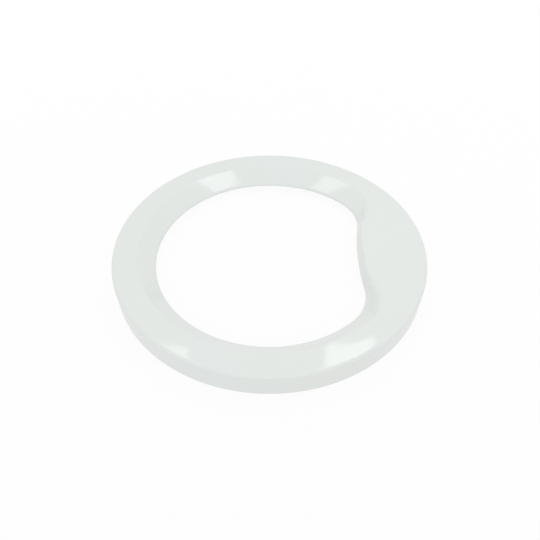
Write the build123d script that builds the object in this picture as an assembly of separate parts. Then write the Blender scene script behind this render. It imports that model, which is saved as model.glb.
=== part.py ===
"""Outer trim ring of a front-loading washing machine's door, one white plastic moulding.

The ring lies on its foot with its face up. The face is a flat band with a rounded rim and a
drafted skirt. Inside the band a conical slope dishes down to the round opening. On the +X side
the face runs on into the opening as a grip: there the slope steepens into a finger wall, and the
opening's edge bulges inwards. Behind the face the moulding is a shell of even wall, open at the
foot, with screw towers, webs and ribs.

Frame: origin at the centre of the foot plane, +Z out of the face, +X through the grip.
Lengths are in millimetres and angles in degrees.
"""

import math
import os

from build123d import *

# Face, rim and skirt
OUTER_DIAMETER = 460.0      # skirt at the foot, its widest place
SKIRT_DRAFT = 0.5           # lean of the skirt towards the face
FACE_HEIGHT = 35.8          # foot plane to face
RIM_ROUND = 5.0

# Slope and opening
OPENING_DIAMETER = 340.0
LIP_HEIGHT = 14.5           # foot plane to where the slope meets the opening's edge
LIP_DEPTH = 3.2             # height of the opening's edge below the slope
SLOPE_RUN = 24.0            # width of the slope seen from above
RIDGE_ROUND = 2.0           # between face and slope
LIP_ROUND = 2.0             # between slope and opening

# Grip
GRIP_REACH = 37.0           # how far the grip's edge stands into the round opening
FINGER_WALL_RUN = 4.5       # width of the finger wall seen from above
LIP_CORNER = 68.0           # radius of the opening's two corners beside the grip
LIP_BULGE = 470.0           # radius of the grip's edge, which bulges into the opening
RIDGE_CORNER = 50.0         # the same two radii where slope and finger wall meet the face
RIDGE_BULGE = 900.0
RIDGE_SHOULDER = 45.0       # radius of the shoulders between that bulge and its corners
RIDGE_SPREAD = 54.0         # from the middle of the grip to where the shoulders start
LIP_SPREAD = 50.0           # place on the lip below that start; the lip has no shoulders

# Back of the moulding
WALL = 2.5
SCREW_COUNT = 6
SCREW_INSET = 16.0          # screw circle, measured in from the foot's edge
TOWER_WIDTH = 9.0
TOWER_RECESS = 6.0          # tower end above the foot plane
PILOT_DIAMETER = 3.3
PILOT_DEPTH = 16.0
RIB_THICKNESS = 1.6
WEB_RECESS = 17.0           # lower edge of the webs at the towers, above the foot plane
GRIP_RIB_COUNT = 3
GRIP_RIB_PITCH = 34.0
GRIP_RIB_DEPTH = 4.0        # below the back of the face

NODE = "door_trim_ring"
REACH = 5.0                 # how far cutting shapes reach past the part
LEVEL = 0.01                # how near to a height an edge counts as lying on it

foot_radius = OUTER_DIAMETER / 2
skirt_lean = FACE_HEIGHT * math.tan(math.radians(SKIRT_DRAFT))
opening_radius = OPENING_DIAMETER / 2
grip_edge = opening_radius - GRIP_REACH
slope_rise = FACE_HEIGHT - LIP_HEIGHT
face_back = FACE_HEIGHT - WALL
screw_radius = foot_radius - SCREW_INSET
screw_pitch = 360 / SCREW_COUNT


def contour(radius, grip_x, corner, bulge, shoulder, spread, height):
    """Closed outline at one height: a circle that is cut off on the +X side by an arc bulging
    inwards to grip_x. At each end of that arc a shoulder and then a corner lead back to the circle,
    and each arc is tangent to the next."""
    start = math.asin(spread / bulge)
    shoulder_x = grip_x + bulge - (bulge - shoulder) * math.cos(start)
    shoulder_y = (bulge - shoulder) * math.sin(start)
    shoulder_reach = math.hypot(shoulder_x, shoulder_y)
    corner_reach = radius - corner
    opposite = shoulder + corner
    apart = (corner_reach**2 + shoulder_reach**2 - opposite**2) / (2 * corner_reach * shoulder_reach)
    turn = math.atan2(shoulder_y, shoulder_x) + math.acos(apart)
    corner_x = corner_reach * math.cos(turn)
    corner_y = corner_reach * math.sin(turn)
    meet = math.atan2(shoulder_y - corner_y, shoulder_x - corner_x)

    def on_shoulder(angle, side):
        x = shoulder_x - shoulder * math.cos(angle)
        y = shoulder_y - shoulder * math.sin(angle)
        return (x, side * y, height)

    def on_corner(angle, side):
        x = corner_x + corner * math.cos(angle)
        y = corner_y + corner * math.sin(angle)
        return (x, side * y, height)

    def shoulder_arc(side):
        middle = on_shoulder((meet - start) / 2, side)
        return ThreePointArc(on_shoulder(-start, side), middle, on_shoulder(meet, side))

    def corner_arc(side):
        middle = on_corner((meet + turn) / 2, side)
        return ThreePointArc(on_corner(meet, side), middle, on_corner(turn, side))

    return Wire([
        ThreePointArc(on_shoulder(-start, -1), (grip_x, 0, height), on_shoulder(-start, 1)),
        shoulder_arc(1),
        corner_arc(1),
        ThreePointArc(on_corner(turn, 1), (-radius, 0, height), on_corner(turn, -1)),
        corner_arc(-1),
        shoulder_arc(-1),
    ])


def slope_contour(height, wall=0.0):
    """Outline of slope and finger wall at one height, or of their back, one wall behind them."""
    share = (height - LIP_HEIGHT) / slope_rise
    slope_shift = wall * math.hypot(SLOPE_RUN, slope_rise) / slope_rise
    grip_shift = wall * math.hypot(FINGER_WALL_RUN, slope_rise) / slope_rise

    def blend(lip, ridge):
        """Radius at this height, with a curvature that changes evenly from lip to ridge."""
        return 1 / ((1 - share) / lip + share / ridge)

    radius = opening_radius + share * SLOPE_RUN + slope_shift
    grip_x = grip_edge + share * FINGER_WALL_RUN + grip_shift
    corner = blend(LIP_CORNER, RIDGE_CORNER) + (slope_shift + grip_shift) / 2
    bulge = blend(LIP_BULGE, RIDGE_BULGE) - grip_shift
    shoulder = blend(LIP_BULGE, RIDGE_SHOULDER) - grip_shift
    spread = LIP_SPREAD + share * (RIDGE_SPREAD - LIP_SPREAD)
    return contour(radius, grip_x, corner, bulge, shoulder, spread, height)


def dish(upper, wall=0.0):
    """Solid bounded by slope and finger wall, or by their back, from the lip up to a height."""
    return Solid.make_loft([slope_contour(LIP_HEIGHT, wall), slope_contour(upper, wall)], ruled=True)


def well(depth, wall=0.0):
    """Solid bounded by the opening's edge, or by its back, from the lip down by a depth."""
    return extrude(make_face(slope_contour(LIP_HEIGHT, wall)), depth, dir=(0, 0, -1))


def make_skin():
    """The moulding's outer form as a full body: rim, face, dished slope and opening."""
    body = Solid.make_cone(foot_radius, foot_radius - skirt_lean, FACE_HEIGHT)
    rim = body.edges().filter_by_position(Axis.Z, FACE_HEIGHT - LEVEL, FACE_HEIGHT + LEVEL)
    body = fillet(rim, RIM_ROUND) - well(LIP_HEIGHT + REACH) - dish(FACE_HEIGHT)
    for height, radius in ((FACE_HEIGHT, RIDGE_ROUND), (LIP_HEIGHT, LIP_ROUND)):
        level = body.edges().filter_by_position(Axis.Z, height - LEVEL, height + LEVEL)
        inner = level.filter_by(lambda edge: edge.bounding_box().max.X < opening_radius)
        body = fillet(inner, radius)
    return body


def make_hollow():
    """The space behind the face, one wall inside the skin and open below the lip and foot."""
    space = Solid.make_cylinder(foot_radius - skirt_lean - WALL, face_back + REACH)
    return Pos(0, 0, -REACH) * space - dish(face_back, WALL) - well(LIP_DEPTH, WALL)


def make_rib(lower_edge):
    """A rib along +X from the axis into the skirt, up to the face."""
    length = foot_radius - WALL / 2
    height = FACE_HEIGHT - lower_edge
    rib = Box(length, RIB_THICKNESS, height, align=(Align.MIN, Align.CENTER, Align.MIN))
    return Pos(0, 0, lower_edge) * rib


def make_stiffening():
    """Screw towers, a web across the hollow at each tower, and ribs behind the grip."""
    web = make_rib(WEB_RECESS)
    tower = Box(TOWER_WIDTH, TOWER_WIDTH, FACE_HEIGHT, align=(Align.CENTER, Align.CENTER, Align.MIN))
    tower = Pos(screw_radius, 0, TOWER_RECESS) * tower
    pieces = []
    for index in range(SCREW_COUNT):
        turn = Rot(0, 0, screw_pitch * (index + 0.5))
        pieces += [turn * web, turn * tower]
    grip_rib = make_rib(face_back - GRIP_RIB_DEPTH)
    for location in GridLocations(0, GRIP_RIB_PITCH, 1, GRIP_RIB_COUNT):
        pieces.append(location * grip_rib)
    return pieces


def make_pilots():
    """Pilot holes, going into the towers from their ends."""
    pilot = extrude(Circle(PILOT_DIAMETER / 2), PILOT_DEPTH)
    places = PolarLocations(screw_radius, SCREW_COUNT, start_angle=screw_pitch / 2)
    return [place * Pos(0, 0, TOWER_RECESS) * pilot for place in places]


def make_ring():
    """The whole moulding."""
    skin = make_skin()
    hollow = make_hollow()
    stiffening = [hollow & piece for piece in make_stiffening()]
    return skin - hollow + stiffening - make_pilots()


if __name__ == "__main__":
    os.makedirs("parts", exist_ok=True)
    export_step(make_ring(), f"parts/{NODE}.step")
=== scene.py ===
"""Looks of a washing machine door's trim ring: its moulded shell, stiffened back, gloss and studio.

Lengths are in metres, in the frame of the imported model: the origin is at the centre of the foot
plane, +Z comes out of the face and +X goes through the grip.
"""

import math
from types import SimpleNamespace

import bpy
from bpy.props import FloatProperty, FloatVectorProperty, IntProperty, PointerProperty
from mathutils import Matrix, Vector


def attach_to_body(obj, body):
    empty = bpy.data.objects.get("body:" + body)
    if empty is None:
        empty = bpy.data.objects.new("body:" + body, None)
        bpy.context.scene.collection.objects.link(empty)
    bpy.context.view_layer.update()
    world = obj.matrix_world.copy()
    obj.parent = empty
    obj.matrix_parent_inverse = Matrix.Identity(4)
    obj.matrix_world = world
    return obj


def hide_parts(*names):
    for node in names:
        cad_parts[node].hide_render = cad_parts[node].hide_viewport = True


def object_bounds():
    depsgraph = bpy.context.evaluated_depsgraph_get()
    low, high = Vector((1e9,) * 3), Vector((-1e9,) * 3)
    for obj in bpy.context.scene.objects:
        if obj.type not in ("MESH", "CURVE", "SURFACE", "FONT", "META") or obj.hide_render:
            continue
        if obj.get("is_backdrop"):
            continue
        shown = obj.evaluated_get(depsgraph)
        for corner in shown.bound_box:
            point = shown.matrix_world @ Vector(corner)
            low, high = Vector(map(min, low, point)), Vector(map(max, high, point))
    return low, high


bl_info = {
    "name": "Door Trim Ring",
    "version": (1, 0, 0),
    "blender": (4, 5, 0),
    "location": "View3D > Sidebar > Trim Ring",
    "description": "Builds the moulded trim ring of a washing machine door, its finish and its studio",
    "category": "Add Mesh",
}

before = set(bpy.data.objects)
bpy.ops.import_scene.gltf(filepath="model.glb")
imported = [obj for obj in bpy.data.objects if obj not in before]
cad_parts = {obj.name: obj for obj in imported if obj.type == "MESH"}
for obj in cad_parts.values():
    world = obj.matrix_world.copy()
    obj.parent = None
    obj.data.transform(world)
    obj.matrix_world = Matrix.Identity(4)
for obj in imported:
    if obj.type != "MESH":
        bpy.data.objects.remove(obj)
cad_low, cad_high = (tuple(corner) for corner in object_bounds())

RING_NODE = "door_trim_ring"
RING_BODY = "root"

SHELL = "ring_shell"
OUTSIDE = "outside"                 # face attribute: the shell's polished side
RIB_LINE = "rib_line"               # point attribute: the direction that a rib runs in
RIB_END = "rib_end"                 # point attribute: 1 at a rib's outer end, -1 at its inner end

ARCS = 4                            # arcs on each half of the opening's outline
ARC_STATIONS = 90                   # steps along each of these arcs
SWELL_START = 0.125                 # station on the bulge where the ridge's round starts to swell
SWELL_END = 0.75                    # station at the end of the corner where it is small again
SEAM = 1e-5                         # points nearer than this are one point
TOWER_CORNER_STEPS = 4              # points on the round of a tower's upright edge
PILOT_SIDES = 32
RIB_ROWS = 12                       # points up a rib's height, so that its ends follow a leaning wall
EDGE_STEPS = 2                      # faces across the round of a free edge behind the face

NOISE_RANGE = (0.3, 0.7)            # where most of a noise's values lie
POLISH_RANGE = (0.85, 1.2)          # least and most roughness, as shares of the finish's own
POLISH_PATCHES = 4                  # patches of polish along one change of tone

FLOOR_GAP = 0.0002                  # floor below the foot plane
FLOOR_ROUGHNESS = 0.9
SOFTBOX_FADE = 0.25                 # share of a softbox's length over which it fades out
HORIZON = 0.1                       # half the band where the light from below turns into the tent's


# Settings that a user would change

def length(name, description, default):
    return FloatProperty(name=name, description=description, default=default, min=0.0,
                         unit="LENGTH", precision=5)


def angle(name, description, degrees):
    return FloatProperty(name=name, description=description, default=math.radians(degrees),
                         subtype="ANGLE")


def share(name, description, default):
    return FloatProperty(name=name, description=description, default=default, min=0.0, max=1.0,
                         subtype="FACTOR")


def amount(name, description, default):
    return FloatProperty(name=name, description=description, default=default, min=0.0)


def count(name, description, default):
    return IntProperty(name=name, description=description, default=default, min=1)


def colour(name, description, default):
    return FloatVectorProperty(name=name, description=description, default=default, size=3,
                               min=0.0, max=1.0, subtype="COLOR")


def place(name, description, default):
    return FloatVectorProperty(name=name, description=description, default=default, size=3,
                               subtype="TRANSLATION", unit="LENGTH")


class ShellSizes(bpy.types.PropertyGroup):
    """Sizes of the moulded shell."""

    outer_diameter: length("Outer diameter", "Skirt across the foot", cad_high[0] - cad_low[0])
    face_height: length("Face height", "Foot plane to face", cad_high[2] - cad_low[2])
    skirt_draft: angle("Skirt draft", "Lean of the skirt towards the face", 0.5)
    rim_round: length("Rim round", "Radius between face and skirt", 0.005)
    crown_width: length("Crown width", "Outer stretch of the face, which falls to the rim", 0.018)
    crown_drop: length("Crown drop", "How far the face falls at the rim", 0.0004)
    crown_round: length("Crown round", "Radius between the face and its falling stretch", 0.25)
    opening_diameter: length("Opening diameter", "Round opening at the lip", 0.340)
    lip_height: length("Lip height", "Foot plane to the foot of the slope", 0.0145)
    lip_depth: length("Lip depth", "Upright edge of the opening below the slope", 0.0032)
    lip_round: length("Lip round", "Radius between slope and opening", 0.0062)
    slope_run: length("Slope run", "Width of the slope seen from above", 0.024)
    ridge_round: length("Ridge round", "Radius between face and slope", 0.002)
    shoulder_round: length("Shoulder round", "The same radius at its largest, beside the grip", 0.026)
    grip_reach: length("Grip reach", "How far the grip stands into the round opening", 0.037)
    finger_wall_run: length("Finger wall run", "Width of the finger wall seen from above", 0.0045)
    lip_corner: length("Lip corner", "Radius of the opening's corners beside the grip", 0.068)
    lip_bulge: length("Lip bulge", "Radius of the grip's edge at the lip", 0.470)
    ridge_corner: length("Ridge corner", "Radius of the face's corners beside the grip", 0.050)
    ridge_bulge: length("Ridge bulge", "Radius of the grip's edge at the face", 0.900)
    ridge_shoulder: length("Ridge shoulder", "Radius between that bulge and its corners", 0.045)
    ridge_spread: length("Ridge spread", "Middle of the grip to where the shoulders start", 0.054)
    lip_spread: length("Lip spread", "Middle of the grip to the lip's place below that start", 0.050)
    wall: length("Wall", "Thickness of the moulding", 0.0025)
    edge_break: length("Edge break", "Radius on the thin edges and in the back's corners", 0.0004)


class BackSizes(bpy.types.PropertyGroup):
    """Sizes of the screw towers, webs and ribs behind the face."""

    screw_count: count("Screws", "Number of screw towers", 6)
    screw_inset: length("Screw inset", "Screw circle, in from the foot's edge", 0.016)
    tower_width: length("Tower width", "Side of a screw tower", 0.009)
    tower_corner: length("Tower corner", "Radius of a tower's upright edges", 0.0008)
    tower_recess: length("Tower recess", "Tower end above the foot plane", 0.006)
    pilot_diameter: length("Pilot diameter", "Screw hole in a tower", 0.0033)
    pilot_depth: length("Pilot depth", "Screw hole from the tower's end", 0.016)
    rib_thickness: length("Rib thickness", "Webs and ribs", 0.0016)
    web_recess: length("Web recess", "Lower edge of the webs above the foot plane", 0.017)
    grip_rib_count: count("Grip ribs", "Number of ribs behind the grip", 3)
    grip_rib_pitch: length("Grip rib pitch", "Distance between ribs behind the grip", 0.034)
    grip_rib_depth: length("Grip rib depth", "Grip ribs below the back of the face", 0.004)
    rib_round: length("Rib round", "Radius on the free edges of towers, webs and ribs", 0.0002)
    rooting: length("Rooting", "How far towers, webs and ribs go into the walls", 0.0005)


class PlasticFinish(bpy.types.PropertyGroup):
    """Look of the white plastic."""

    colour: colour("Colour", "White of the plastic", (0.755, 0.790, 0.775))
    warm_colour: colour("Warm colour", "White where the melt was a little warmer", (0.760, 0.790, 0.760))
    ior: amount("Refraction", "Index of refraction of the plastic", 1.65)
    gloss: share("Gloss", "Roughness of the polished side", 0.08)
    satin: share("Satin", "Roughness of the side that faces the machine", 0.42)
    flow_pitch: length("Flow pitch", "Size of the slow changes of tone along the moulding", 0.09)
    peel_pitch: length("Peel pitch", "Size of the faint ripple in the polished skin", 0.007)
    peel_height: length("Peel height", "Height of that ripple", 0.00002)
    grain_pitch: length("Grain pitch", "Size of the tool's fine grain on the back", 0.0008)
    grain_height: length("Grain height", "Height of that grain", 0.00002)


class StudioSizes(bpy.types.PropertyGroup):
    """Camera, lights and floor, laid out before they are turned about the ring's axis."""

    turn: angle("Turn", "Camera and lights about the ring's axis", 2.35)
    eye_distance: length("Eye distance", "Camera to the centre of the foot plane", 0.780)
    eye_elevation: angle("Eye elevation", "Camera above the floor", 45.49)
    aim: place("Aim", "Point in the middle of the picture", (0.00076, -0.0215, 0.0))
    lens: amount("Lens", "Focal length as a share of the picture's width", 0.9426)
    tent_light: amount("Tent light", "Light from the white tent all round", 0.928)
    bounce_light: amount("Bounce light", "Light that comes back to the ring from below", 0.875)
    right_softbox: place("Right softbox", "Middle of the softbox on the right", (0.193, 0.018, 0.50))
    right_width: length("Right width", "Width of the softbox on the right", 0.126)
    right_length: length("Right length", "Length of the softbox on the right", 0.256)
    right_light: amount("Right light", "Brightness of the right softbox's screen", 1.85)
    left_softbox: place("Left softbox", "Middle of the softbox on the left", (-0.237, 0.004, 0.50))
    left_width: length("Left width", "Width of the softbox on the left", 0.086)
    left_length: length("Left length", "Length of the softbox on the left", 0.228)
    left_light: amount("Left light", "Brightness of the left softbox's screen", 1.40)
    front_softbox: place("Front softbox", "Middle of the softbox behind the camera", (0.0, -1.10, 0.75))
    front_width: length("Front width", "Width of the softbox behind the camera", 0.80)
    front_length: length("Front length", "Length of the softbox behind the camera", 0.50)
    front_light: amount("Front light", "Brightness of the front softbox's screen", 0.70)
    floor_width: length("Floor width", "Side of the pale floor", 30.0)
    floor_colour: colour("Floor colour", "Tone of the floor under its glow", (0.07, 0.07, 0.07))
    floor_glow: amount("Floor glow", "Light that comes up through the floor", 0.90)


class TrimRing(bpy.types.PropertyGroup):
    """All settings of the ring and its studio."""

    shell: PointerProperty(type=ShellSizes)
    back: PointerProperty(type=BackSizes)
    finish: PointerProperty(type=PlasticFinish)
    studio: PointerProperty(type=StudioSizes)


# Node trees, written as plain arithmetic

def add_node(tree, kind, inputs=(), **settings):
    """A new node with its settings made, and its inputs linked to fields or sockets or given values."""
    node = tree.nodes.new(kind)
    for name, value in settings.items():
        setattr(node, name, value)
    for key, value in dict(inputs).items():
        value = getattr(value, "socket", value)
        if isinstance(value, bpy.types.NodeSocket):
            tree.links.new(value, node.inputs[key])
        else:
            node.inputs[key].default_value = value
    return node


class Field:
    """A number or vector in a node tree: arithmetic with it adds the nodes that work it out."""

    def __init__(self, socket):
        self.socket = socket
        self.tree = socket.id_data
        self.is_vector = socket.type == "VECTOR"

    def number(self, operation, *others, clamp=False):
        node = add_node(self.tree, "ShaderNodeMath", enumerate((self, *others)),
                        operation=operation, use_clamp=clamp)
        return Field(node.outputs["Value"])

    def vector(self, operation, *others, output="Vector"):
        node = add_node(self.tree, "ShaderNodeVectorMath", enumerate((self, *others)),
                        operation=operation)
        return Field(node.outputs[output])

    def __add__(self, other):
        return self.vector("ADD", other) if self.is_vector else self.number("ADD", other)

    def __sub__(self, other):
        return self.vector("SUBTRACT", other) if self.is_vector else self.number("SUBTRACT", other)

    def __rsub__(self, other):
        return self * -1 + other

    def __mul__(self, other):
        if not self.is_vector:
            return self.number("MULTIPLY", other)
        node = add_node(self.tree, "ShaderNodeVectorMath", {"Vector": self, "Scale": other},
                        operation="SCALE")
        return Field(node.outputs["Vector"])

    def __truediv__(self, other):
        return self.number("DIVIDE", other)

    __radd__ = __add__
    __rmul__ = __mul__


def sin(field):
    return field.number("SINE")


def cos(field):
    return field.number("COSINE")


def tan(field):
    return field.number("TANGENT")


def arc_cosine(field):
    return field.number("ARCCOSINE")


def unit(field):
    return field.vector("NORMALIZE")


def dot(field, other):
    return field.vector("DOT_PRODUCT", other, output="Value")


def split(field):
    """The three numbers of a vector."""
    node = add_node(field.tree, "ShaderNodeSeparateXYZ", {"Vector": field})
    return [Field(output) for output in node.outputs]


def level(field):
    """A vector without its height."""
    return field.vector("MULTIPLY", (1, 1, 0))


def point(tree, x=0.0, y=0.0, z=0.0):
    """A vector from three numbers."""
    return Field(add_node(tree, "ShaderNodeCombineXYZ", {"X": x, "Y": y, "Z": z}).outputs["Vector"])


def choose(test, if_true, if_false):
    """One of two numbers, by a field that is 1 or 0."""
    node = add_node(test.tree, "GeometryNodeSwitch",
                    {"Switch": test, "True": if_true, "False": if_false}, input_type="FLOAT")
    return Field(node.outputs["Output"])


def here(tree):
    """Where a point of the mesh is."""
    return Field(tree.nodes.new("GeometryNodeInputPosition").outputs["Position"])


def new_tree(name, inputs, outputs):
    """A geometry node tree with named sockets, its inputs as fields, and its output node."""
    tree = bpy.data.node_groups.new(name, "GeometryNodeTree")
    for direction, sockets in (("INPUT", inputs), ("OUTPUT", outputs)):
        for label, kind in sockets.items():
            tree.interface.new_socket(label, in_out=direction, socket_type=f"NodeSocket{kind}")
    entry = tree.nodes.new("NodeGroupInput")
    fields = {label: Field(entry.outputs[label]) for label in inputs}
    return tree, fields, tree.nodes.new("NodeGroupOutput")


def new_size_tree(name, sizes):
    """A tree for a piece, with a named input for each listed size, those inputs by property name,
    and its output node."""
    kinds = {"INT": "Int", "FLOAT": "Float"}
    listed = {**ShellSizes.bl_rna.properties, **BackSizes.bl_rna.properties}
    inputs = {listed[key].name: kinds[listed[key].type] for key in sizes}
    tree, fields, result = new_tree(name, inputs, {"Geometry": "Geometry"})
    return tree, SimpleNamespace(**{key: fields[listed[key].name] for key in sizes}), result


def join(tree, geometries):
    """Several geometries as one."""
    node = tree.nodes.new("GeometryNodeJoinGeometry")
    for geometry in reversed(geometries):
        tree.links.new(geometry, node.inputs["Geometry"])
    return node.outputs["Geometry"]


def move(tree, geometry, offset):
    """A geometry moved by a vector."""
    node = add_node(tree, "GeometryNodeTransform", {"Geometry": geometry, "Translation": offset})
    return node.outputs["Geometry"]


def merge(tree, geometry):
    """A geometry with its seams closed."""
    node = add_node(tree, "GeometryNodeMergeByDistance", {"Geometry": geometry, "Distance": SEAM})
    return node.outputs["Geometry"]


def store(tree, geometry, name, value, data_type, domain):
    """A geometry that carries a named attribute."""
    node = add_node(tree, "GeometryNodeStoreNamedAttribute",
                    {"Geometry": geometry, "Name": name, "Value": value},
                    data_type=data_type, domain=domain)
    return node.outputs["Geometry"]


def stored(tree, name, data_type):
    """A named attribute as a field."""
    node = add_node(tree, "GeometryNodeInputNamedAttribute", {"Name": name}, data_type=data_type)
    return Field(node.outputs["Attribute"])


def smooth(tree, geometry):
    """A geometry with smooth shading."""
    return add_node(tree, "GeometryNodeSetShadeSmooth", {"Geometry": geometry}).outputs["Geometry"]


def dress(tree, geometry, material):
    """The end of a piece's tree: a plain mesh instead of instances, and its material."""
    real = add_node(tree, "GeometryNodeRealizeInstances", {"Geometry": geometry})
    node = add_node(tree, "GeometryNodeSetMaterial",
                    {"Geometry": real.outputs["Geometry"], "Material": material})
    return node.outputs["Geometry"]


def finish_tree(tree, result, outputs):
    """Links what a tree gives to its output node."""
    for label, value in outputs.items():
        tree.links.new(getattr(value, "socket", value), result.inputs[label])


def make_piece(name, tree, settings, finishing, objects=None):
    """Runs a tree with the settings' sizes, and the finishing modifiers after it, and keeps the
    result as a plain mesh."""
    piece = bpy.data.objects.new(name, bpy.data.meshes.new(name))
    bpy.context.scene.collection.objects.link(piece)
    shape = piece.modifiers.new("shape", "NODES")
    shape.node_group = tree
    values = dict(objects or {})
    for sizes in (settings.shell, settings.back):
        for key in sizes.__annotations__:
            values[sizes.bl_rna.properties[key].name] = getattr(sizes, key)
    for item in tree.interface.items_tree:
        if item.in_out == "INPUT":
            shape[item.identifier] = values[item.name]
    for kind, choices in finishing.items():
        modifier = piece.modifiers.new(kind.lower(), kind)
        for key, value in choices.items():
            setattr(modifier, key, value)
    graph = bpy.context.evaluated_depsgraph_get()
    mesh = bpy.data.meshes.new_from_object(piece.evaluated_get(graph), depsgraph=graph)
    piece.modifiers.clear()
    piece.data = mesh
    mesh.name = name
    return piece


def attach(piece):
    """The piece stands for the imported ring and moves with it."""
    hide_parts(RING_NODE)
    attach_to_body(piece, RING_BODY)


# White plastic

def make_moulding_group():
    """Marks that moulding leaves in plastic: slow changes of tone and polish, and a fine relief."""
    tree = bpy.data.node_groups.new("moulding_marks", "ShaderNodeTree")
    for label in ("Flow Pitch", "Relief Pitch"):
        tree.interface.new_socket(label, in_out="INPUT", socket_type="NodeSocketFloat")
    for label in ("Flow", "Polish", "Relief"):
        tree.interface.new_socket(label, in_out="OUTPUT", socket_type="NodeSocketFloat")
    entry = tree.nodes.new("NodeGroupInput")
    result = tree.nodes.new("NodeGroupOutput")
    where = tree.nodes.new("ShaderNodeTexCoord").outputs["Object"]
    flow_scale = Field(entry.outputs["Flow Pitch"]).number("POWER", -1)
    relief_scale = Field(entry.outputs["Relief Pitch"]).number("POWER", -1)
    noises = {
        "Flow": {"Scale": flow_scale, "Detail": 2.0},
        "Polish": {"Scale": flow_scale * POLISH_PATCHES, "Detail": 4.0},
        "Relief": {"Scale": relief_scale, "Detail": 1.0},
    }
    for label, inputs in noises.items():
        noise = add_node(tree, "ShaderNodeTexNoise", {"Vector": where, **inputs})
        tree.links.new(noise.outputs["Fac"], result.inputs[label])
    return tree


def make_plastic(name, finish, roughness, relief_pitch, relief_height):
    """White plastic with a roughness and relief of its own, made once."""
    if name in bpy.data.materials:
        return bpy.data.materials[name]
    marks = bpy.data.node_groups.get("moulding_marks") or make_moulding_group()
    material = bpy.data.materials.new(name)
    material.use_nodes = True
    tree = material.node_tree
    shader = tree.nodes["Principled BSDF"]
    shader.inputs["IOR"].default_value = finish.ior
    moulding = add_node(tree, "ShaderNodeGroup", node_tree=marks)
    moulding.inputs["Flow Pitch"].default_value = finish.flow_pitch
    moulding.inputs["Relief Pitch"].default_value = relief_pitch

    noise_low, noise_high = NOISE_RANGE
    tone = add_node(tree, "ShaderNodeValToRGB", {"Fac": moulding.outputs["Flow"]})
    low, high = tone.color_ramp.elements
    low.position, low.color = noise_low, (*finish.colour, 1.0)
    high.position, high.color = noise_high, (*finish.warm_colour, 1.0)
    tree.links.new(tone.outputs["Color"], shader.inputs["Base Color"])

    least, most = (roughness * part for part in POLISH_RANGE)
    polish = add_node(tree, "ShaderNodeMapRange", {
        "Value": moulding.outputs["Polish"], "From Min": noise_low, "From Max": noise_high,
        "To Min": least, "To Max": most})
    tree.links.new(polish.outputs["Result"], shader.inputs["Roughness"])

    bump = add_node(tree, "ShaderNodeBump",
                    {"Height": moulding.outputs["Relief"], "Distance": relief_height})
    tree.links.new(bump.outputs["Normal"], shader.inputs["Normal"])
    return material


def polished_white(finish):
    """The plastic of the face, slope and skirt, from a polished tool."""
    return make_plastic("polished_white", finish, finish.gloss, finish.peel_pitch, finish.peel_height)


def satin_white(finish):
    """The same plastic on the side that faces the machine, from a plain tool."""
    return make_plastic("satin_white", finish, finish.satin, finish.grain_pitch, finish.grain_height)


# The shell

def make_outline_group():
    """Outline of the opening at one height: a circle cut off on the +X side by an arc that bulges
    inwards, with a shoulder and then a corner at each end, and each arc tangent to the next. Station
    goes from 0 in the middle of the grip to 1 opposite it, a quarter for each arc, and Side is 1 or
    -1 for the two halves."""
    tree, given, result = new_tree(
        "opening_outline",
        {"Station": "Float", "Side": "Float", "Radius": "Float", "Grip Edge": "Float", "Corner": "Float",
         "Bulge": "Float", "Shoulder": "Float", "Spread": "Float", "Height": "Float"},
        {"Point": "Vector"})
    station, radius, corner, bulge, shoulder = (
        given[name] for name in ("Station", "Radius", "Corner", "Bulge", "Shoulder"))

    bulge_x = given["Grip Edge"] + bulge
    start = (given["Spread"] / bulge).number("ARCSINE")
    shoulder_x = bulge_x - (bulge - shoulder) * cos(start)
    shoulder_y = (bulge - shoulder) * sin(start)
    shoulder_reach = (shoulder_x * shoulder_x + shoulder_y * shoulder_y).number("SQRT")
    corner_reach = radius - corner
    opposite = shoulder + corner
    squares = corner_reach * corner_reach + shoulder_reach * shoulder_reach - opposite * opposite
    apart = arc_cosine(squares / (corner_reach * shoulder_reach * 2))
    turn = shoulder_y.number("ARCTAN2", shoulder_x) + apart
    corner_x = corner_reach * cos(turn)
    corner_y = corner_reach * sin(turn)
    meet = (corner_y - shoulder_y).number("ARCTAN2", shoulder_x - corner_x)

    along_bulge, along_shoulder, along_corner, along_circle = (
        (station * ARCS).number("SUBTRACT", arc, clamp=True) for arc in range(ARCS))
    inwards = along_bulge * start + along_shoulder * (meet - start)
    heading = along_corner * (turn + meet) + along_circle * (math.pi - turn) - inwards

    def by_arc(*values):
        """The value for the arc that the station is on."""
        chosen = values[-1]
        for arc in reversed(range(ARCS - 1)):
            chosen = choose(station.number("LESS_THAN", (arc + 1) / ARCS), values[arc], chosen)
        return chosen

    centre_x = by_arc(bulge_x, shoulder_x, corner_x, 0.0)
    centre_y = by_arc(0.0, shoulder_y, corner_y, 0.0)
    reach = by_arc(bulge * -1, shoulder * -1, corner, radius)
    x = centre_x + reach * cos(heading)
    y = (centre_y + reach * sin(heading)) * given["Side"]
    finish_tree(tree, result, {"Point": point(tree, x, y, given["Height"])})
    return tree


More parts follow.
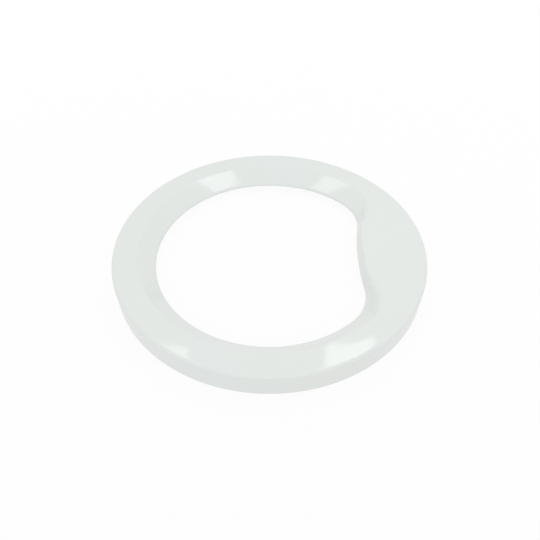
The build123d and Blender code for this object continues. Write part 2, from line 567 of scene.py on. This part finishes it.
def make_round_group():
    """A corner of the section, rounded by an arc: a point on the arc, and the arc's two ends."""
    tree, given, result = new_tree(
        "rounded_corner",
        {"Before": "Vector", "Corner": "Vector", "After": "Vector", "Radius": "Float", "Share": "Float"},
        {"Point": "Vector", "Start": "Vector", "End": "Vector"})
    corner, radius, along = given["Corner"], given["Radius"], given["Share"]
    back = unit(given["Before"] - corner)
    forth = unit(given["After"] - corner)
    half = arc_cosine(dot(back, forth)) / 2
    setback = radius / tan(half)
    start = corner + back * setback
    end = corner + forth * setback
    centre = corner + unit(back + forth) * (radius / sin(half))
    bend = math.pi - half * 2
    start_share = sin(bend * (1 - along)) / sin(bend)
    end_share = sin(bend * along) / sin(bend)
    on_arc = centre + (start - centre) * start_share + (end - centre) * end_share
    finish_tree(tree, result, {"Point": on_arc, "Start": start, "End": end})
    return tree


def make_shell_tree(polished, satin):
    """The shell: at every station round the ring a closed section with rounded corners, which lie
    on the outlines of lip, ridge, rim and foot, and one wall behind them."""
    tree, size, result = new_size_tree(SHELL, ShellSizes.__annotations__)
    outline = make_outline_group()
    rounded = make_round_group()

    # A strip of faces starts as a grid that is one wide and one high, about the origin.
    across, up, _ = split(here(tree))
    station = across.number("ABSOLUTE") * 2
    side = across.number("SIGN") * -1
    along = up + 0.5

    foot_radius = size.outer_diameter / 2
    lean = tan(size.skirt_draft)
    opening_radius = size.opening_diameter / 2
    grip_edge = opening_radius - size.grip_reach
    slope_rise = size.face_height - size.lip_height
    face_back = size.face_height - size.wall
    lip_bottom = size.lip_height - size.lip_depth

    def back_shift(run):
        """How far a leaning wall's back lies outside its front, at one height."""
        return size.wall * (run * run + slope_rise * slope_rise).number("SQRT") / slope_rise

    slope_shift = back_shift(size.slope_run)
    grip_shift = back_shift(size.finger_wall_run)
    corner_shift = (slope_shift + grip_shift) / 2

    def slope_outline(own_height, height, walls_behind=0):
        """Outline that slope and finger wall, or their back, have at one height, put at another."""
        rise = (own_height - size.lip_height) / slope_rise

        def blend(lip, ridge):
            """Radius of this outline, with a curvature that changes evenly from lip to ridge."""
            return ((1 - rise) / lip + rise / ridge).number("POWER", -1)

        inputs = {
            "Station": station,
            "Side": side,
            "Radius": opening_radius + rise * size.slope_run + slope_shift * walls_behind,
            "Grip Edge": grip_edge + rise * size.finger_wall_run + grip_shift * walls_behind,
            "Corner": blend(size.lip_corner, size.ridge_corner) + corner_shift * walls_behind,
            "Bulge": blend(size.lip_bulge, size.ridge_bulge) - grip_shift * walls_behind,
            "Shoulder": blend(size.lip_bulge, size.ridge_shoulder) - grip_shift * walls_behind,
            "Spread": size.lip_spread + rise * (size.ridge_spread - size.lip_spread),
            "Height": height,
        }
        return Field(add_node(tree, "GeometryNodeGroup", inputs, node_tree=outline).outputs["Point"])

    ridge = slope_outline(size.face_height, size.face_height)
    outwards = unit(level(ridge))

    def skirt(height, inset=0.0):
        """Point on the skirt at a height, or set in from it, in the ridge point's direction."""
        return outwards * (foot_radius - inset - lean * height) + point(tree, z=height)

    def skirt_back(height):
        """Point at a height on the skirt's inside, which stands straight up."""
        return outwards * (foot_radius - lean * size.face_height - size.wall) + point(tree, z=height)

    # The ridge's round swells beside the grip, most on the outer half of the shoulder, and the round
    # behind it follows.
    swelling = (station - SWELL_START).number("DIVIDE", SWELL_END - SWELL_START, clamp=True)
    wave = sin(swelling * math.pi)
    swell = wave * wave
    ridge_round = size.ridge_round + swell * (size.shoulder_round - size.ridge_round)
    ridge_back_round = size.edge_break + swell * (size.shoulder_round - size.wall)

    # Corners of the section with their radius and rows, and the rows of the stretch that follows.
    outside = [
        (slope_outline(size.lip_height, lip_bottom), size.edge_break, 3, 2),
        (slope_outline(size.lip_height, size.lip_height), size.lip_round, 8, 10),
        (ridge, ridge_round, 9, 6),
        (skirt(size.face_height, size.crown_width), size.crown_round, 6, 6),
        (skirt(size.face_height - size.crown_drop), size.rim_round, 16, 8),
    ]
    inside = [
        (skirt(0.0), size.edge_break, 3, 2),
        (skirt_back(0.0), size.edge_break, 3, 8),
        (skirt_back(face_back), size.edge_break, 3, 6),
        (slope_outline(face_back, face_back, 1), ridge_back_round, 6, 10),
        (slope_outline(size.lip_height, size.lip_height, 1), size.edge_break, 3, 2),
        (slope_outline(size.lip_height, lip_bottom, 1), size.edge_break, 3, 2),
    ]
    corners = outside + inside
    rounds = []
    for index, (corner, radius, _, _) in enumerate(corners):
        rounds.append(add_node(tree, "GeometryNodeGroup", {
            "Before": corners[index - 1][0],
            "Corner": corner,
            "After": corners[(index + 1) % len(corners)][0],
            "Radius": radius,
            "Share": along,
        }, node_tree=rounded))

    def strip(rows, course):
        """A strip of faces round the ring on the points of a course."""
        grid = add_node(tree, "GeometryNodeMeshGrid", {
            "Size X": 1.0, "Size Y": 1.0,
            "Vertices X": 2 * ARCS * ARC_STATIONS + 1, "Vertices Y": rows + 1})
        laid = add_node(tree, "GeometryNodeSetPosition",
                        {"Geometry": grid.outputs["Mesh"], "Position": course})
        return laid.outputs["Geometry"]

    strips = []
    for index, (_, _, round_rows, stretch_rows) in enumerate(corners):
        start = Field(rounds[index].outputs["End"])
        end = Field(rounds[(index + 1) % len(corners)].outputs["Start"])
        strips.append([strip(round_rows, Field(rounds[index].outputs["Point"])),
                       strip(stretch_rows, start + (end - start) * along)])
    outer_strips = sum(strips[:len(outside)], [])
    inner_strips = sum(strips[len(outside):], [])

    marked = store(tree, join(tree, outer_strips), OUTSIDE, True, "BOOLEAN", "FACE")
    shell = smooth(tree, merge(tree, join(tree, [marked, *inner_strips])))
    gloss = add_node(tree, "GeometryNodeSetMaterial", {
        "Geometry": dress(tree, shell, satin), "Selection": stored(tree, OUTSIDE, "BOOLEAN"),
        "Material": polished})
    finish_tree(tree, result, {"Geometry": gloss.outputs["Geometry"]})
    return tree


# Behind the face

def screw_seats(tree, size):
    """Points on the screw circle in the foot plane, the first half a pitch from the grip's middle."""
    circle = add_node(tree, "GeometryNodeMeshCircle", {
        "Vertices": size.screw_count, "Radius": size.outer_diameter / 2 - size.screw_inset})
    half_pitch = size.screw_count.number("POWER", -1) * math.pi
    turned = add_node(tree, "GeometryNodeTransform", {
        "Geometry": circle.outputs["Mesh"], "Rotation": point(tree, z=half_pitch)})
    return turned.outputs["Geometry"]


def put_on_seats(tree, seats, shape, line):
    """A copy of a shape on each seat, turned about its upright axis until its X axis follows a line."""
    facing = add_node(tree, "FunctionNodeAlignRotationToVector", {"Vector": line},
                      axis="X", pivot_axis="Z")
    copies = add_node(tree, "GeometryNodeInstanceOnPoints", {
        "Points": seats, "Instance": shape, "Rotation": facing.outputs["Rotation"]})
    return copies.outputs["Instances"]


def edge_rounding(back):
    """Modifiers that round the free edges of towers, webs and ribs."""
    return {"BEVEL": {"width": back.rib_round, "segments": EDGE_STEPS}, "WEIGHTED_NORMAL": {}}


def make_tower_tree(satin):
    """Screw towers on their circle, each a square post with a pilot hole in its end."""
    tree, size, result = new_size_tree("screw_towers", (
        "outer_diameter", "face_height", "wall", "screw_count", "screw_inset", "tower_width",
        "tower_corner", "tower_recess", "pilot_diameter", "pilot_depth", "rooting"))
    height = size.face_height - size.wall + size.rooting - size.tower_recess
    pilot_radius = size.pilot_diameter / 2
    square = add_node(tree, "GeometryNodeCurvePrimitiveQuadrilateral",
                      {"Width": size.tower_width, "Height": size.tower_width})
    post = add_node(
        tree, "GeometryNodeFilletCurve",
        {"Curve": square.outputs["Curve"], "Radius": size.tower_corner, "Count": TOWER_CORNER_STEPS},
        mode="POLY")
    pilot = add_node(tree, "GeometryNodeCurvePrimitiveCircle",
                     {"Resolution": PILOT_SIDES, "Radius": pilot_radius})
    end = add_node(tree, "GeometryNodeFillCurve",
                   {"Curve": join(tree, [post.outputs["Curve"], pilot.outputs["Curve"]])})
    walls = add_node(tree, "GeometryNodeExtrudeMesh", {
        "Mesh": end.outputs["Mesh"], "Offset": (0, 0, 1), "Offset Scale": height, "Individual": False})
    underside = add_node(tree, "GeometryNodeFlipFaces", {"Mesh": end.outputs["Mesh"]})
    tube = merge(tree, join(tree, [walls.outputs["Mesh"], underside.outputs["Mesh"]]))

    # A core fills the tube above the pilot hole, and is wider than the hole so that no walls coincide.
    core_height = height - size.pilot_depth
    core = add_node(tree, "GeometryNodeMeshCylinder", {
        "Vertices": PILOT_SIDES, "Radius": pilot_radius + size.rooting, "Depth": core_height})
    core_middle = size.pilot_depth + core_height / 2
    tower = join(tree, [tube, move(tree, core.outputs["Mesh"], point(tree, z=core_middle))])

    seats = move(tree, screw_seats(tree, size), point(tree, z=size.tower_recess))
    towers = put_on_seats(tree, seats, tower, level(here(tree)))
    finish_tree(tree, result, {"Geometry": dress(tree, smooth(tree, towers), satin)})
    return tree


def make_rib_tree(satin):
    """Webs across the hollow at the screw towers, and ribs behind the grip. Each starts as a short
    bar in the hollow, whose ends are then pushed out to the walls that they meet."""
    tree, size, result = new_size_tree("webs_and_ribs", (
        "outer_diameter", "face_height", "wall", "screw_count", "screw_inset", "rib_thickness",
        "web_recess", "grip_rib_count", "grip_rib_pitch", "grip_rib_depth", "rooting"))
    tree.interface.new_socket("Shell", in_out="INPUT", socket_type="NodeSocketObject")
    entry = tree.nodes["Group Input"]
    shell = add_node(tree, "GeometryNodeObjectInfo", {"Object": entry.outputs["Shell"]})
    face_back = size.face_height - size.wall

    def bars(seats, line, lower_edge):
        """A short upright bar on each seat, from a lower edge into the back of the face."""
        height = face_back + size.rooting - lower_edge
        bar = add_node(tree, "GeometryNodeMeshCube", {
            "Size": point(tree, size.rib_thickness, size.rib_thickness, height), "Vertices Z": RIB_ROWS})
        end = split(here(tree))[0].number("SIGN")
        middle = lower_edge + height / 2
        bar = move(tree, store(tree, bar.outputs["Mesh"], RIB_END, end, "FLOAT", "POINT"),
                   point(tree, z=middle))
        lined = store(tree, seats, RIB_LINE, line, "FLOAT_VECTOR", "POINT")
        return put_on_seats(tree, lined, bar, line)

    webs = bars(screw_seats(tree, size), unit(here(tree)), size.web_recess)

    seat_radius = size.outer_diameter / 2 - size.screw_inset
    first = (size.grip_rib_count - 1) * size.grip_rib_pitch / -2
    row = add_node(tree, "GeometryNodeMeshLine", {
        "Count": size.grip_rib_count, "Start Location": point(tree, seat_radius, first),
        "Offset": point(tree, y=size.grip_rib_pitch)})
    ribs = bars(row.outputs["Mesh"], point(tree, x=1.0), face_back - size.grip_rib_depth)

    real = add_node(tree, "GeometryNodeRealizeInstances", {"Geometry": join(tree, [webs, ribs])})
    x, y, z = split(here(tree))
    outwards = stored(tree, RIB_LINE, "FLOAT_VECTOR") * stored(tree, RIB_END, "FLOAT")
    ray_height = z.number("MINIMUM", face_back - size.rooting)
    ray = add_node(tree, "GeometryNodeRaycast", {
        "Target Geometry": shell.outputs["Geometry"],
        "Source Position": point(tree, x, y, ray_height),
        "Ray Direction": outwards})
    wall_x, wall_y, _ = split(Field(ray.outputs["Hit Position"]) + outwards * size.rooting)
    pushed = add_node(tree, "GeometryNodeSetPosition", {
        "Geometry": real.outputs["Geometry"], "Position": point(tree, wall_x, wall_y, z)})
    finish_tree(tree, result, {"Geometry": dress(tree, smooth(tree, pushed.outputs["Geometry"]), satin)})
    return tree


# The studio

def make_camera(studio, turned):
    """Camera at the height, distance and angle of the photograph."""
    data = bpy.data.cameras.new("camera")
    data.sensor_fit = "HORIZONTAL"
    data.lens = data.sensor_width * studio.lens
    camera = bpy.data.objects.new("camera", data)
    bpy.context.scene.collection.objects.link(camera)
    elevation = studio.eye_elevation
    eye = Vector((0, -math.cos(elevation), math.sin(elevation))) * studio.eye_distance
    view = Vector(studio.aim) - eye
    looking = view.to_track_quat("-Z", "Y").to_matrix().to_4x4()
    camera.matrix_world = turned @ Matrix.Translation(eye) @ looking
    bpy.context.scene.camera = camera


def make_softbox(name, middle, facing, width, depth, brightness, turned):
    """A softbox that shines in one direction, with a screen that fades out towards one end."""
    data = bpy.data.lights.new(name, "AREA")
    data.shape = "RECTANGLE"
    data.size = width
    data.size_y = depth
    data.energy = brightness * math.pi * width * depth
    data.use_nodes = True
    tree = data.node_tree
    across = Field(tree.nodes.new("ShaderNodeNewGeometry").outputs["Parametric"])
    fading = add_node(tree, "ShaderNodeMapRange", {"Value": split(across)[1], "From Max": SOFTBOX_FADE})
    tree.links.new(fading.outputs["Result"], tree.nodes["Emission"].inputs["Strength"])
    softbox = bpy.data.objects.new(name, data)
    bpy.context.scene.collection.objects.link(softbox)
    facing = Vector(facing).to_track_quat("-Z", "Y").to_matrix().to_4x4()
    softbox.matrix_world = turned @ Matrix.Translation(middle) @ facing


def make_floor(studio):
    """Pale floor that glows evenly and leaves the light from below to the tent."""
    half = studio.floor_width / 2
    corners = ((-half, -half), (half, -half), (half, half), (-half, half))
    mesh = bpy.data.meshes.new("floor")
    mesh.from_pydata([(x, y, -FLOOR_GAP) for x, y in corners], [], [(0, 1, 2, 3)])
    floor = bpy.data.objects.new("floor", mesh)
    bpy.context.scene.collection.objects.link(floor)
    material = bpy.data.materials.new("pale_floor")
    material.use_nodes = True
    shader = material.node_tree.nodes["Principled BSDF"]
    shader.inputs["Base Color"].default_value = (*studio.floor_colour, 1.0)
    shader.inputs["Roughness"].default_value = FLOOR_ROUGHNESS
    shader.inputs["Emission Color"].default_value = (1.0, 1.0, 1.0, 1.0)
    shader.inputs["Emission Strength"].default_value = studio.floor_glow
    mesh.materials.append(material)
    for use in ("visible_diffuse", "visible_glossy", "visible_shadow"):
        setattr(floor, use, False)
    floor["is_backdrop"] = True


def make_surround(studio):
    """White light all round, as in a tent, with less of it from below."""
    world = bpy.data.worlds.new("tent")
    world.use_nodes = True
    tree = world.node_tree
    background = tree.nodes["Background"]
    background.inputs["Color"].default_value = (1.0, 1.0, 1.0, 1.0)
    direction = Field(tree.nodes.new("ShaderNodeTexCoord").outputs["Generated"])
    strength = add_node(tree, "ShaderNodeMapRange", {
        "Value": split(direction)[2], "From Min": -HORIZON, "From Max": HORIZON,
        "To Min": studio.bounce_light, "To Max": studio.tent_light})
    tree.links.new(strength.outputs["Result"], background.inputs["Strength"])
    bpy.context.scene.world = world
    bpy.context.scene.view_settings.view_transform = "Standard"


# Operators and panel

class TRIMRING_OT_shell(bpy.types.Operator):
    """Make the moulded shell with its face, slope, grip, rim and skirt"""

    bl_idname = "trim_ring.shell"
    bl_label = "Moulded Shell"

    def execute(self, context):
        settings = context.scene.trim_ring
        tree = make_shell_tree(polished_white(settings.finish), satin_white(settings.finish))
        attach(make_piece(SHELL, tree, settings, {"WEIGHTED_NORMAL": {}}))
        return {"FINISHED"}


class TRIMRING_OT_towers(bpy.types.Operator):
    """Make the screw towers behind the face"""

    bl_idname = "trim_ring.towers"
    bl_label = "Screw Towers"

    def execute(self, context):
        settings = context.scene.trim_ring
        tree = make_tower_tree(satin_white(settings.finish))
        attach(make_piece("screw_towers", tree, settings, edge_rounding(settings.back)))
        return {"FINISHED"}


class TRIMRING_OT_ribs(bpy.types.Operator):
    """Make the webs at the screw towers and the ribs behind the grip"""

    bl_idname = "trim_ring.ribs"
    bl_label = "Webs and Ribs"

    def execute(self, context):
        settings = context.scene.trim_ring
        tree = make_rib_tree(satin_white(settings.finish))
        walls = {"Shell": bpy.data.objects[SHELL]}
        attach(make_piece("webs_and_ribs", tree, settings, edge_rounding(settings.back), walls))
        return {"FINISHED"}


class TRIMRING_OT_studio(bpy.types.Operator):
    """Set up the floor, the soft light and the camera"""

    bl_idname = "trim_ring.studio"
    bl_label = "Studio"

    def execute(self, context):
        studio = context.scene.trim_ring.studio
        turned = Matrix.Rotation(studio.turn, 4, "Z")
        make_floor(studio)
        make_surround(studio)
        down = (0.0, 0.0, -1.0)
        to_ring = -Vector(studio.front_softbox)
        for side, facing in (("right", down), ("left", down), ("front", to_ring)):
            middle, width, depth, light = (
                getattr(studio, f"{side}_{key}") for key in ("softbox", "width", "length", "light"))
            make_softbox(f"{side}_softbox", middle, facing, width, depth, light, turned)
        make_camera(studio, turned)
        return {"FINISHED"}


OPERATORS = (TRIMRING_OT_shell, TRIMRING_OT_towers, TRIMRING_OT_ribs, TRIMRING_OT_studio)


class TRIMRING_PT_sidebar(bpy.types.Panel):
    """Steps that build the trim ring, and their settings"""

    bl_idname = "TRIMRING_PT_sidebar"
    bl_label = "Door Trim Ring"
    bl_space_type = "VIEW_3D"
    bl_region_type = "UI"
    bl_category = "Trim Ring"

    def draw(self, context):
        settings = context.scene.trim_ring
        for operator in OPERATORS:
            self.layout.operator(operator.bl_idname)
        for group in (settings.shell, settings.back, settings.finish, settings.studio):
            column = self.layout.box().column()
            for key in group.__annotations__:
                column.prop(group, key)


CLASSES = (ShellSizes, BackSizes, PlasticFinish, StudioSizes, TrimRing, *OPERATORS, TRIMRING_PT_sidebar)


def register():
    for cls in CLASSES:
        bpy.utils.register_class(cls)
    bpy.types.Scene.trim_ring = PointerProperty(type=TrimRing)


def unregister():
    del bpy.types.Scene.trim_ring
    for cls in reversed(CLASSES):
        bpy.utils.unregister_class(cls)


def main():
    register()
    bpy.ops.trim_ring.shell()
    bpy.ops.trim_ring.towers()
    bpy.ops.trim_ring.ribs()
    bpy.ops.trim_ring.studio()


if __name__ == "__main__":
    main()
